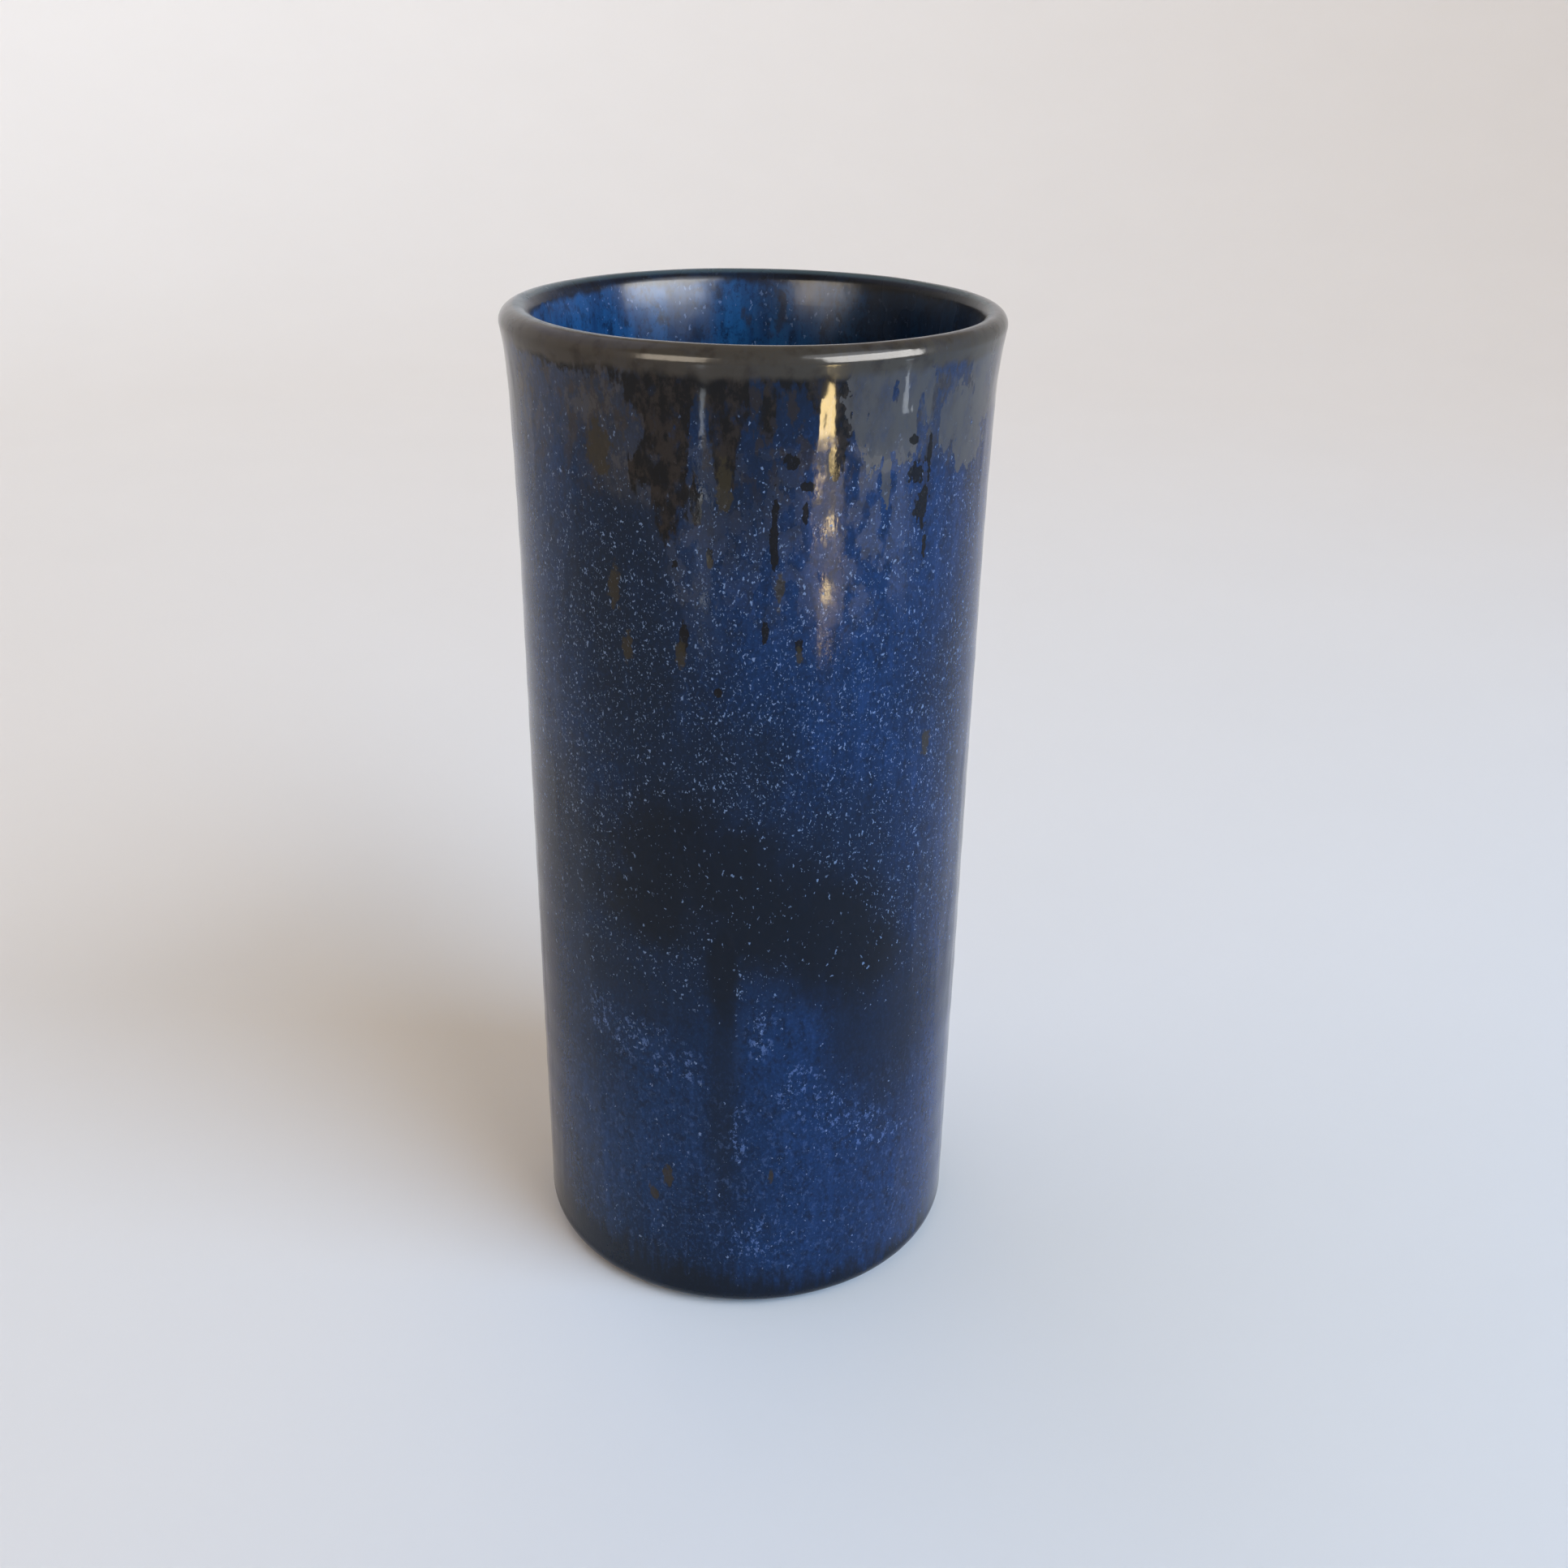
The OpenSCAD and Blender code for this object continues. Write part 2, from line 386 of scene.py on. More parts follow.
def build_wheel():
    """Turns an outline into a closed skin, a little uneven as a hand leaves it."""
    tree, net, given, result = new_tree("potters_wheel", WHEEL_INPUTS)
    profile = given["Geometry"]
    rows = net.add("GeometryNodeAttributeDomainSize", {0: profile}).outputs["Point Count"]
    columns = net.math("ADD", given["Turns"], 1.0)
    grid = net.add("GeometryNodeMeshGrid", {"Size X": 1.0, "Size Y": 1.0,
                                            "Vertices X": columns, "Vertices Y": rows})
    index = net.add("GeometryNodeInputIndex").outputs[0]
    column = net.math("FLOOR", net.math("DIVIDE", index, rows))
    row = net.math("SUBTRACT", index, net.math("MULTIPLY", column, rows))
    angle = net.math("MULTIPLY", net.math("DIVIDE", column, given["Turns"]), 2 * math.pi)
    stop = stop_value(net, profile, "FLOAT_VECTOR",
                      net.add("GeometryNodeInputPosition").outputs[0], row)
    inside_name = net.add("GeometryNodeInputNamedAttribute", {"Name": "inside"}, data_type="FLOAT")
    inside = stop_value(net, profile, "FLOAT", inside_name.outputs[0], row)
    edge_name = net.add("GeometryNodeInputNamedAttribute", {"Name": "edge"}, data_type="FLOAT")
    edge = stop_value(net, profile, "FLOAT", edge_name.outputs[0], row)
    radius, _, height = net.split(stop)
    cosine = net.math("COSINE", angle)
    sine = net.math("SINE", angle)

    # The place in mm, on a true cylinder, that all the unevenness is read from
    high = net.math("DIVIDE", height, MM)
    ring = net.add("ShaderNodeCombineXYZ", {0: net.times(cosine, BODY_RADIUS / MM),
                                            1: net.times(sine, BODY_RADIUS / MM), 2: high})
    seed = net.add("ShaderNodeCombineXYZ", {0: given["Seed"]})
    place = net.plus(ring.outputs[0], seed.outputs[0])

    # Finger rings climb one spacing in each turn; noise makes some deep and some faint
    turns_up = net.math("DIVIDE", high, given["Ring spacing"])
    phase = net.total(net.times(turns_up, 2 * math.pi), angle)
    rings = net.times(net.math("SINE", phase), net.noise(net.scaled(place, 0.02, 0.02, 0.04)))
    rings = net.total(rings, net.swing(net.scaled(place, 0.012, 0.012, 0.16), 1.0, detail=3))
    quiet = net.times(net.ramp(high, 6, 16), net.ramp(high, 187, 178))
    wobble = net.swing(net.scaled(place, 0.022, 0.022, 0.016), 1.0)

    # The last two terms draw the wall in by about what the hand pushes out, so it keeps its size
    push = net.total(net.times(rings, given["Ring depth"], quiet),
                     net.times(wobble, given["Hand wobble"], net.ramp(high, 0, 30)),
                     net.times(given["Ring depth"], -1.6), net.times(given["Hand wobble"], -0.5))
    runs = net.times(run_pattern(net, place), given["Run height"], quiet)
    push = net.total(push, net.times(runs, net.math("SUBTRACT", 1.0, inside)))
    radial = net.times(net.ramp(radius, 10 * MM, 36 * MM), push)
    moved = net.total(radius, net.times(radial, MM))

    # The bore sits a little to one side, most of all at the lip
    shift = net.times(given["Bore off centre"], MM, inside, net.ramp(high, 120, 188))
    x = net.total(net.times(moved, cosine), shift)
    y = net.times(moved, sine)
    waves = net.noise(net.scaled(place, 0.03, 0.03, 0.0), detail=1)
    waves = net.times(waves, given["Lip rise and fall"])
    sag = net.times(waves, net.ramp(high, 165, 190), -MM)
    ragged = net.swing(net.scaled(place, 0.16, 0.16, 0.0), 1.0, detail=4)
    sag = net.total(sag, net.times(ragged, given["Uneven coat edge"], edge, MM))
    new_place = net.add("ShaderNodeCombineXYZ", {0: x, 1: y, 2: net.total(height, sag)})

    shaped = net.add("GeometryNodeSetPosition", {"Geometry": grid.outputs["Mesh"],
                                                 "Position": new_place.outputs[0]})
    closed = net.add("GeometryNodeMergeByDistance", {0: shaped.outputs[0]})
    net.feed(closed.inputs["Distance"], MERGE_WITHIN)
    smooth = net.add("GeometryNodeSetShadeSmooth", {0: closed.outputs[0]})
    real = net.add("GeometryNodeRealizeInstances", {0: smooth.outputs[0]})
    finish = net.add("GeometryNodeSetMaterial", {"Geometry": real.outputs[0],
                                                 "Material": given["Finish"]})
    net.feed(result, finish.outputs[0])
    return tree


wheel = build_wheel()
print("wheel inputs:", [item.name for item in wheel.interface.items_tree if item.in_out == "INPUT"])


# %% Turn an outline on the wheel
SHARP_EDGE = math.radians(40)


def outline_mesh(name, outline):
    """The outline as a chain of points with its own attributes."""
    mesh = bpy.data.meshes.new(name)
    mesh.from_pydata([(stop[0], 0, stop[1]) for stop in outline],
                     [(i, i + 1) for i in range(len(outline) - 1)], [])
    inside = mesh.attributes.new("inside", "FLOAT", "POINT")
    inside.data.foreach_set("value", [stop[2] for stop in outline])
    edge = mesh.attributes.new("edge", "FLOAT", "POINT")
    edge.data.foreach_set("value", [stop[3] if len(stop) > 3 else 0.0 for stop in outline])
    return mesh


def turned(name, outline, finish, closed_loop=True, **settings):
    """One closed piece, turned from an outline and left as a plain mesh."""
    if closed_loop:
        outline = outline + [outline[0]]
    source = bpy.data.objects.new(name + "_outline", outline_mesh(name + "_outline", outline))
    bpy.context.scene.collection.objects.link(source)
    modifier = source.modifiers.new("wheel", "NODES")
    modifier.node_group = wheel
    chosen = {key.replace("_", " "): value for key, value in settings.items()}
    for item in wheel.interface.items_tree:
        if item.in_out == "INPUT" and item.name in chosen:
            modifier[item.identifier] = chosen[item.name]
        if item.in_out == "INPUT" and item.name == "Finish":
            modifier[item.identifier] = finish
    ready = source.evaluated_get(bpy.context.evaluated_depsgraph_get())
    mesh = bpy.data.meshes.new_from_object(ready)
    mesh.name = name
    source.modifiers.clear()
    bpy.data.objects.remove(source)
    mesh.set_sharp_from_angle(angle=SHARP_EDGE)
    piece = bpy.data.objects.new(name, mesh)
    bpy.context.scene.collection.objects.link(piece)
    triangles = sum(len(face.vertices) - 2 for face in mesh.polygons)
    print(f"{name}: {triangles} triangles, top {max(v.co.z for v in mesh.vertices) / MM:.2f} mm")
    return piece


# %% [markdown]
# ## Glaze
# The three coats melt into each other, so one pattern is painted by place: how high, how far
# round, and outside or inside. An image wrapped round each coat would show a seam where two coats
# meet. The same nodes in every coat show none. They work in millimetres from Object coordinates.

# %% Where on the vase a point is
class Place:
    """A shading point in millimetres, with the measures that the glaze pattern uses."""

    def __init__(self, net):
        self.net = net
        coordinates = net.add("ShaderNodeTexCoord").outputs["Object"]
        self.mm = net.scaled(coordinates, 1 / MM, 1 / MM, 1 / MM)
        self.x, self.y, self.z = net.split(self.mm)
        squares = net.total(net.times(self.x, self.x), net.times(self.y, self.y))
        self.radius = net.math("SQRT", squares)
        self.angle = net.math("ARCTAN2", self.x, net.times(self.y, -1.0))
        self.round = net.times(self.angle, BODY_RADIUS / MM)
        self.flat = net.add("ShaderNodeCombineXYZ", {0: self.round, 1: self.z}).outputs[0]
        edge = net.ramp(self.z, 165, 187, 39.9, 42.1)
        self.outside = net.ramp(net.math("SUBTRACT", self.radius, edge), -0.6, 0.6)
        self.back = net.ramp(net.math("ABSOLUTE", self.angle), math.radians(62), math.radians(85))

    def texture(self, across, along, **kind):
        """Noise with so many turns per mm across and along the vase."""
        return self.net.noise(self.net.scaled(self.mm, across, across, along), **kind)

    def waver(self, across, along, amount, **kind):
        return self.net.swing(self.net.scaled(self.mm, across, across, along), amount, **kind)


# %% [markdown]
# Some marks have a place of their own: a tongue of iron, a dark drift, a drip. Each one is an
# oval whose distance noise makes ragged. The nearest oval wins, so that neighbours flow together.
# The lists hold degrees round from the front, height, half width and half height in millimetres.

# %% Marks that the glaze has at known places
IRON_BLACK_PATCHES = (
    (-19, 182, 6.5, 9), (-18, 170, 3.2, 9), (-24, 172, 2.6, 6), (-4, 185, 7, 6), (-9, 178, 4, 4),
    (-6, 174, 2.4, 6), (3, 181, 1.5, 6), (10, 187, 8, 4), (-47, 188, 14, 4), (19, 180, 2.2, 6),
    (14, 184, 3, 4), (-12, 166, 1.0, 5), (18, 172, 1.2, 2.4),
)
# Grey patches on the right: painted reflection of the room on the glossy iron.
GREY_REFLECTION_PATCHES = (
    (24, 182, 4.0, 6), (28, 178, 4.4, 8), (36, 182, 5, 8), (30, 169, 1.2, 5), (34, 175, 4, 5),
    (52, 176, 6.5, 5), (57, 171, 6, 4), (64, 184, 6, 13),
)
# Grey veils: painted reflection of the room on the glossy iron, most of it on the left where the
# glaze is seen at a slant.
GREY_REFLECTION_VEILS = ((-62, 180, 13, 12), (-38, 181, 12, 9), (-28, 172, 8, 7), (44, 178, 14, 8))
BLUE_GAPS = (
    (0.5, 183.5, 1.0, 4.5), (8.5, 177, 3.0, 6), (43, 176, 1.2, 12), (46, 185, 2.4, 4), (3, 171, 3, 5),
    (38.5, 177, 0.8, 5), (-11, 175, 1.6, 7), (-29, 176, 4, 4),
)
DRIPS = (
    (4.8, 160.3, 0.6, 5.8), (11.4, 163.5, 0.5, 2.2), (11.7, 168, 1.3, 0.8), (8.2, 171.8, 1.0, 1.4),
    (18, 170, 0.8, 1.4), (3, 143.4, 0.6, 1.6), (10.7, 141.2, 0.65, 1.4), (-15, 142, 0.8, 2.6),
    (-7.4, 133, 0.6, 0.8), (41.9, 155.7, 0.4, 1.9), (38.6, 168.5, 1.8, 2.0), (40.6, 162.5, 1.6, 2.6),
    (36.7, 174, 0.9, 0.7), (-9.1, 156.7, 0.6, 1.2), (-16.8, 154.7, 0.5, 0.7), (42, 171, 0.5, 3.6),
)
OCHRE_MARKS = (
    (-32, 149.5, 1.1, 4.2), (-29, 139, 0.9, 2.6), (46.8, 118.8, 1.1, 2.3), (-21, 30.8, 1.1, 2.0),
    (-25.5, 26, 0.9, 1.8), (6.2, 33, 0.4, 1.6), (10.7, 139.4, 0.6, 1.2), (-9.1, 155.6, 0.5, 1.0),
    (-15.6, 139.0, 0.8, 2.0), (-6, 168, 1.2, 4), (-35, 172, 2.2, 4), (6, 151, 0.8, 3),
)
DARK_CLOUDS = (
    (-21, 102, 16, 12), (-8, 97, 14, 12), (-24, 91, 13, 9), (4, 90, 14, 13), (18, 87, 13, 12),
    (26, 80, 12, 10), (-6, 80, 3.5, 13),
)
DIM_CLOUDS = (
    (-26, 78, 18, 15), (-28, 146, 15, 36), (36, 64, 13, 24), (-12, 118, 16, 12), (20, 100, 20, 15),
    (-6.2, 56, 3.4, 31), (-5.6, 52, 1.7, 30), (0, 88, 30, 19), (-5, 166, 11, 13), (-30, 76, 19, 9),
    (28, 90, 15, 12), (-2, 184, 22, 9), (-52, 96, 14, 22), (31, 66, 9, 17), (38, 56, 5, 16),
)
SNOW_DRIFTS = (
    (-40, 63, 5, 4), (-29, 61, 7, 5), (-18, 57, 5, 5), (3, 66, 2.4, 6), (13, 53, 5, 5),
    (22, 46, 6, 6), (32, 39, 6, 5), (42, 36, 4, 3), (0, 18, 7, 7), (-2, 42, 2.2, 7),
)
print(len(DRIPS), "drips,", len(DARK_CLOUDS), "dark clouds,", len(SNOW_DRIFTS), "crystal drifts")


def nearest(net, place, spots, ragged):
    """How far off the nearest mark is: below 1 is inside it, before noise makes it ragged."""
    best = None
    for degrees, height, half_width, half_height in spots:
        centre = math.radians(degrees) * BODY_RADIUS / MM
        moved = net.add("ShaderNodeVectorMath", {
            0: place.flat, 1: (1 / half_width, 1 / half_height, 0),
            2: (-centre / half_width, -height / half_height, 0)}, operation="MULTIPLY_ADD")
        away = net.add("ShaderNodeVectorMath", {0: moved.outputs[0]}, operation="LENGTH")
        away = away.outputs["Value"]
        best = away if best is None else net.math("MINIMUM", best, away)
    return net.total(best, ragged)


# %% Colours of the melt
COBALT_DEEP = (0.0022, 0.0115, 0.034, 1)
COBALT = (0.0042, 0.0250, 0.083, 1)
COBALT_LIT = (0.0190, 0.0560, 0.165, 1)
# Near-black cobalt of the dark clouds, and also the colour of the painted shade inside and above the
# foot.
NIGHT_AND_PAINTED_SHADE = (0.0028, 0.0058, 0.0110, 1)
DUSK = (0.0046, 0.0110, 0.0240, 1)
IRON_BLACK = (0.0055, 0.0045, 0.0038, 1)
IRON_BROWN = (0.0240, 0.0170, 0.0125, 1)
# Pale grey: the iron's own grey in the band behind, and painted reflection in the patches and veils.
IRON_GREY_AND_REFLECTION = (0.0800, 0.0720, 0.0680, 1)
OCHRE = (0.0360, 0.0270, 0.0130, 1)
CRYSTAL = (0.26, 0.37, 0.58, 1)
MILKY = (0.085, 0.145, 0.310, 1)
OLIVE_LIP = (0.060, 0.049, 0.037, 1)
PALE_BREAK = (0.11, 0.18, 0.20, 1)
INSIDE_DEEP = (0.005, 0.024, 0.075, 1)
INSIDE_LIT = (0.014, 0.095, 0.240, 1)
print("cobalt reflects", round(100 * COBALT[2], 1), "% of blue light and less of the rest")


# %% [markdown]
# ### Cobalt
# A cobalt glaze is never one blue. It pools, runs and breaks at every scale, so noise of four sizes
# is laid over itself, from broad pools to fine grain. Where it is starved it goes nearly black, which
# is the dark cloud round the middle.

# %% Blue, and the dark clouds over it
def blue_field(net, place):
    """Cobalt that is mottled at every scale: broad pools, downward streaks and fine grain."""
    pools = place.texture(0.035, 0.022, detail=3)
    streak = place.texture(0.30, 0.045, detail=4, roughness=0.6)
    mottle = place.texture(0.55, 0.40, detail=4, roughness=0.65)
    grain = place.texture(1.7, 1.2, detail=2, roughness=0.6)
    colour = net.blend(net.ramp(pools, 0.30, 0.62), COBALT_DEEP, COBALT)
    colour = net.blend(net.ramp(streak, 0.48, 0.76, 0, 0.40), colour, COBALT_LIT)
    colour = net.blend(net.ramp(mottle, 0.54, 0.30, 0, 0.85), colour, COBALT_DEEP)
    colour = net.blend(net.ramp(grain, 0.50, 0.72, 0, 0.45), colour, COBALT_LIT)
    return net.blend(net.ramp(grain, 0.46, 0.28, 0, 0.55), colour, COBALT_DEEP)


def dark_drifts(net, place):
    """Where the cobalt runs thin and dark, and where it is only dim: 0 to 1 each."""
    ragged = net.total(place.waver(0.10, 0.07, 0.42, detail=3),
                       place.waver(0.45, 0.20, 0.20, detail=4))
    dark = net.ramp(nearest(net, place, DARK_CLOUDS, ragged), 1.45, 0.45)
    dim = net.ramp(nearest(net, place, DIM_CLOUDS, ragged), 1.45, 0.40)
    level = net.total(place.z, place.waver(0.030, 0.020, 26, detail=3))
    lower = net.total(place.z, place.waver(0.12, 0.010, 24, detail=2))
    belt = net.times(net.ramp(level, 124, 98), net.ramp(lower, 56, 84), place.back)
    return net.largest(dark, belt), dim


def cobalt_colour(net, place):
    """The blue with its clouds, and how dark each point is."""
    colour = blue_field(net, place)
    dark, dim = dark_drifts(net, place)
    colour = net.blend(net.times(dim, 0.70), colour, DUSK)
    return net.blend(net.times(dark, 0.88), colour, NIGHT_AND_PAINTED_SHADE), dark


# %% [markdown]
# ### Crystals
# As the kiln cools, pale crystals grow in the glaze. They lie in it and not on it, so they are
# painted and not scattered as small meshes. The sharp ones are some cells of a Voronoi pattern,
# thick above the middle and few in the dark. The blurred ones are noise, in drifts under the cloud.

# %% Crystals in the glaze
def slivers(net, place, size, longer, reach, density, seed=0.0):
    """Tiny crystals: some cells of a Voronoi pattern, bent by fine noise. Sizes are in mm."""
    start = net.plus(place.mm, (seed, 0.0, 0.0))
    bend = net.noise(net.scaled(start, 1.5, 1.5, 1.1), detail=1, output="Color")
    bent = net.plus(start, net.scaled(bend, 1.5, 1.5, 1.9))
    cell = net.scaled(bent, 1 / size, 1 / size, 1 / size / longer)
    cells = net.add("ShaderNodeTexVoronoi", {"Vector": cell, "Scale": 1.0})
    chance, how_big, _ = net.split(cells.outputs["Color"])
    reach = net.ramp(how_big, 0, 1, reach * 0.55, reach)
    dot = net.ramp(net.math("SUBTRACT", cells.outputs["Distance"], reach), 0.05, -0.05)
    return net.times(dot, net.math("GREATER_THAN", density, chance))


def crystals_over(net, place, colour, dark, soft):
    """Lays blurred and sharp crystals over a colour, and gives where the sharp ones are."""
    z = place.z
    drift = net.ramp(nearest(net, place, SNOW_DRIFTS, soft), 1.45, 0.55)
    level = net.total(z, place.waver(0.04, 0.03, 20, detail=2))
    behind = net.times(net.ramp(level, 68, 58), net.ramp(level, 30, 44), place.back)
    drift = net.largest(drift, behind, net.times(net.ramp(z, 62, 40), net.ramp(z, 4, 14), 0.30))
    clots = place.texture(0.95, 0.70, detail=4, roughness=0.7)
    snow = net.ramp(clots, 0.54, 0.64, 0, 0.75)
    colour = net.blend(net.times(snow, drift), colour, MILKY)

    many = net.times(net.ramp(z, 62, 96), net.ramp(z, 186, 150))
    density = net.total(net.times(many, 0.85), net.times(drift, 0.22), 0.02)
    density = net.times(density, net.ramp(dark, 0.4, 1.0, 1.0, 0.22))
    density = net.times(density, net.ramp(place.texture(0.06, 0.05, detail=2), 0.3, 0.6, 0.65, 1.2))
    large = slivers(net, place, size=0.76, longer=1.9, reach=0.24, density=density)
    small = slivers(net, place, size=0.52, longer=1.6, reach=0.25, density=density, seed=31.0)
    spots = net.largest(large, net.times(small, 0.60))
    return net.blend(net.times(spots, 0.52), colour, CRYSTAL), spots


# %% [markdown]
# ### Iron
# The iron glaze on the lip has run down over the blue. It is black where it is thick, brown grey
# where it is thin, and it ends in drips. Behind, where no mark has a place of its own, it is a band
# with a ragged lower edge. The grey patches on the right and the grey veils are painted reflection
# of the room on the glossy iron.

# %% Iron over the blue
def iron_edge(net, place):
    """Raggedness for the patches of iron, with downward streaks."""
    streaks = place.waver(0.60, 0.10, 0.85, detail=3)
    fine = place.waver(1.1, 0.8, 0.5, detail=3)
    return net.total(place.waver(0.18, 0.14, 0.60, detail=4), streaks, fine)


def iron_over(net, place, colour, soft):
    """Lays the iron and a painted reflection over a colour; gives where it is black and where the lip
    is.
    """
    z = place.z
    rusty = net.ramp(place.texture(0.42, 0.20, detail=3, roughness=0.7), 0.50, 0.60)
    colour = net.blend(net.times(rusty, net.ramp(z, 156, 180), 0.75), colour, IRON_BROWN)
    ragged = iron_edge(net, place)
    black = net.ramp(nearest(net, place, IRON_BLACK_PATCHES, ragged), 1.16, 0.86)
    # Painted reflection: grey patches where the glossy iron reflects the room.
    grey_iron_and_reflection = net.ramp(nearest(net, place, GREY_REFLECTION_PATCHES, ragged), 1.05, 0.97)
    line = net.total(z, place.waver(0.09, 0.05, 16, detail=4), place.waver(0.5, 0.2, 4, detail=3))
    band = net.times(net.ramp(line, 174.5, 176.5), place.back)
    lip = net.ramp(net.total(z, place.waver(0.2, 0.2, 1.5)), 184.4, 186.0)
    gaps = net.ramp(nearest(net, place, BLUE_GAPS, net.times(ragged, 0.8)), 0.90, 1.10)
    patchy = net.ramp(place.texture(0.07, 0.06, detail=2), 0.44, 0.56)
    grey_iron_and_reflection = net.largest(grey_iron_and_reflection, net.times(band, patchy))
    black = net.largest(black, band)
    rust = net.ramp(place.texture(0.45, 0.25, detail=4, roughness=0.7), 0.47, 0.62)
    thick = net.ramp(place.texture(0.50, 0.30, detail=3, roughness=0.6), 0.34, 0.48, 0.55, 0.96)
    # Painted reflection: soft grey veils laid over the iron.
    painted_reflection_veil = net.ramp(nearest(net, place, GREY_REFLECTION_VEILS, soft), 1.5, 0.3)
    colour = net.blend(net.times(painted_reflection_veil, net.ramp(rust, 0, 1, 0.30, 0.62)), colour, IRON_GREY_AND_REFLECTION)
    mixed = net.blend(rust, IRON_BLACK, IRON_BROWN)
    colour = net.blend(net.times(black, gaps, thick), colour, mixed)
    grey_strength = net.ramp(place.texture(0.30, 0.16, detail=4, roughness=0.65), 0.30, 0.62, 0.55, 0.95)
    return net.blend(net.times(grey_iron_and_reflection, gaps, grey_strength), colour, IRON_GREY_AND_REFLECTION), black, lip


def drips_over(net, place, colour):
    """Lays drips and small burst spots over a colour, and gives where the drips are."""
    z = place.z
    ragged = net.total(place.waver(0.55, 0.40, 1.1, detail=3),
                       place.waver(1.6, 1.0, 0.8, detail=2))
    drips = net.ramp(nearest(net, place, DRIPS, ragged), 1.06, 0.94)
    stray = net.ramp(place.texture(0.42, 0.085, detail=2), 0.69, 0.71)
    stray = net.times(stray, net.ramp(z, 118, 150), net.ramp(z, 180, 165), place.back)
    colour = net.blend(net.times(net.largest(drips, stray), 0.93), colour, IRON_BLACK)
    ochre = net.ramp(nearest(net, place, OCHRE_MARKS, ragged), 1.25, 0.75)
    return net.blend(net.times(ochre, 0.8), colour, OCHRE), drips


# %% [markdown]
# ### Foot, lip and inside
# The layers go on in the order in which they lie on the vase. Close above the foot the coat burns
# dark and thin, with short blue runs in it, and painted shade takes the dark higher on the left.
# Over the lip the iron is olive, and it breaks to a pale line where it is thinnest. Inside the blue
# is greener, and painted shade darkens its right side, which the window on the right can't reach.

# %% The layers, one over the other
def outside_colour(net, place):
    """Colour of the outer face, with where it has crystals, where it is glassy and its lip."""
    soft = net.total(place.waver(0.2, 0.15, 0.5, detail=3), place.waver(0.8, 0.6, 0.25, detail=2))
    colour, dark = cobalt_colour(net, place)
    colour, spots = crystals_over(net, place, colour, dark, soft)
    colour, black, lip = iron_over(net, place, colour, soft)
    colour, drips = drips_over(net, place, colour)
    runs = place.waver(0.50, 0.10, 8, detail=3)
    # Painted shade over the coat's own dark edge: the dark band above the foot reaches about 5 mm
    # higher on the left, away from the window.
    foot = net.total(place.z, runs, net.times(net.ramp(place.round, -24, 20), 5))
    colour = net.blend(net.ramp(foot, 14.5, 8.0, 0, 0.86), colour, NIGHT_AND_PAINTED_SHADE)
    return colour, spots, net.largest(black, drips, lip), lip


def lip_colour(net, place, colour, lip):
    """Olive iron over the lip, breaking to a pale line where it is thinnest."""
    mottle = place.texture(0.35, 0.35, detail=3)
    olive = net.blend(net.ramp(mottle, 0.25, 0.55, 0.35, 1.0), IRON_BROWN, OLIVE_LIP)
    colour = net.blend(net.times(lip, 0.9), colour, olive)
    crown = net.times(net.ramp(place.z, 189.0, 189.6), net.ramp(place.outside, 0.55, 0.1))
    return net.blend(net.times(crown, 0.35), colour, PALE_BREAK)


def inside_colour(net, place):
    """Colour of the inner face and of the pool on the floor."""
    streak = place.texture(0.20, 0.030, detail=4, roughness=0.6)
    mottle = place.texture(0.45, 0.30, detail=4, roughness=0.65)
    grain = place.texture(1.5, 1.1, detail=2, roughness=0.6)
    colour = net.blend(net.ramp(streak, 0.22, 0.74), INSIDE_DEEP, INSIDE_LIT)
    colour = net.blend(net.ramp(mottle, 0.52, 0.34, 0, 0.7), colour, COBALT_DEEP)
    colour = net.blend(net.ramp(grain, 0.48, 0.30, 0, 0.5), colour, COBALT_DEEP)
    density = net.ramp(place.z, 50, 150, 0.15, 0.40)
    spots = slivers(net, place, size=1.0, longer=1.5, reach=0.28, density=density, seed=17.0)
    colour = net.blend(net.times(spots, 0.35), colour, CRYSTAL)
    rusty = net.ramp(place.texture(0.25, 0.12, detail=3), 0.62, 0.70)
    colour = net.blend(net.times(rusty, net.ramp(place.z, 160, 180), 0.6), colour, IRON_BROWN)
    # Painted shade: the inner wall is painted near black towards the right, which the window on the
    # right leaves in shade.
    across = net.math("DIVIDE", place.x, 40.0)
    painted_shade_right = net.total(across, place.waver(0.05, 0.03, 0.7, detail=3))
    colour = net.blend(net.ramp(painted_shade_right, -0.05, 0.50, 0, 0.85), colour, NIGHT_AND_PAINTED_SHADE)
    iron = net.ramp(net.total(place.z, place.waver(0.3, 0.2, 1.2, detail=3)), 186.8, 188.2)
    return net.blend(net.times(iron, 0.85), colour, IRON_BLACK)


# %% [markdown]
# Each coat gets the pattern as one node group. The outer coat needs only the outside of the
# pattern and the inner coat only the inside, which keeps them quick to render. The coat over the
# lip has both, and goes from one to the other across the crown. The melt also gives how rough the
# face is. The neck is nearly a mirror, and below it fine pitting breaks the gleams up.

# %% The melt as a node group
def outside_roughness(net, place, satin, spots, glassy, lip):
    """Satin below the neck, with fine pits where a gleam falls, and smooth at the neck."""
    pitted = net.ramp(place.texture(0.36, 0.24, detail=3), 0.38, 0.56, 0, 0.20)
    from_middle = net.math("ABSOLUTE", net.math("SUBTRACT", place.round, 8.0))
    pitted = net.times(pitted, net.ramp(place.z, 136, 152), net.ramp(from_middle, 28, 17))
    rough = net.total(net.ramp(satin, 0.30, 0.70, 0.10, 0.16), pitted)
    rough = net.times(rough, net.ramp(glassy, 0, 1, 1.0, 0.5))
    rough = net.total(rough, net.times(spots, 0.15))
    smooth = net.total(net.ramp(satin, 0.35, 0.65, 0.04, 0.08), net.times(lip, 0.09))
    return net.blend_number(net.ramp(place.z, 177, 173), smooth, rough)


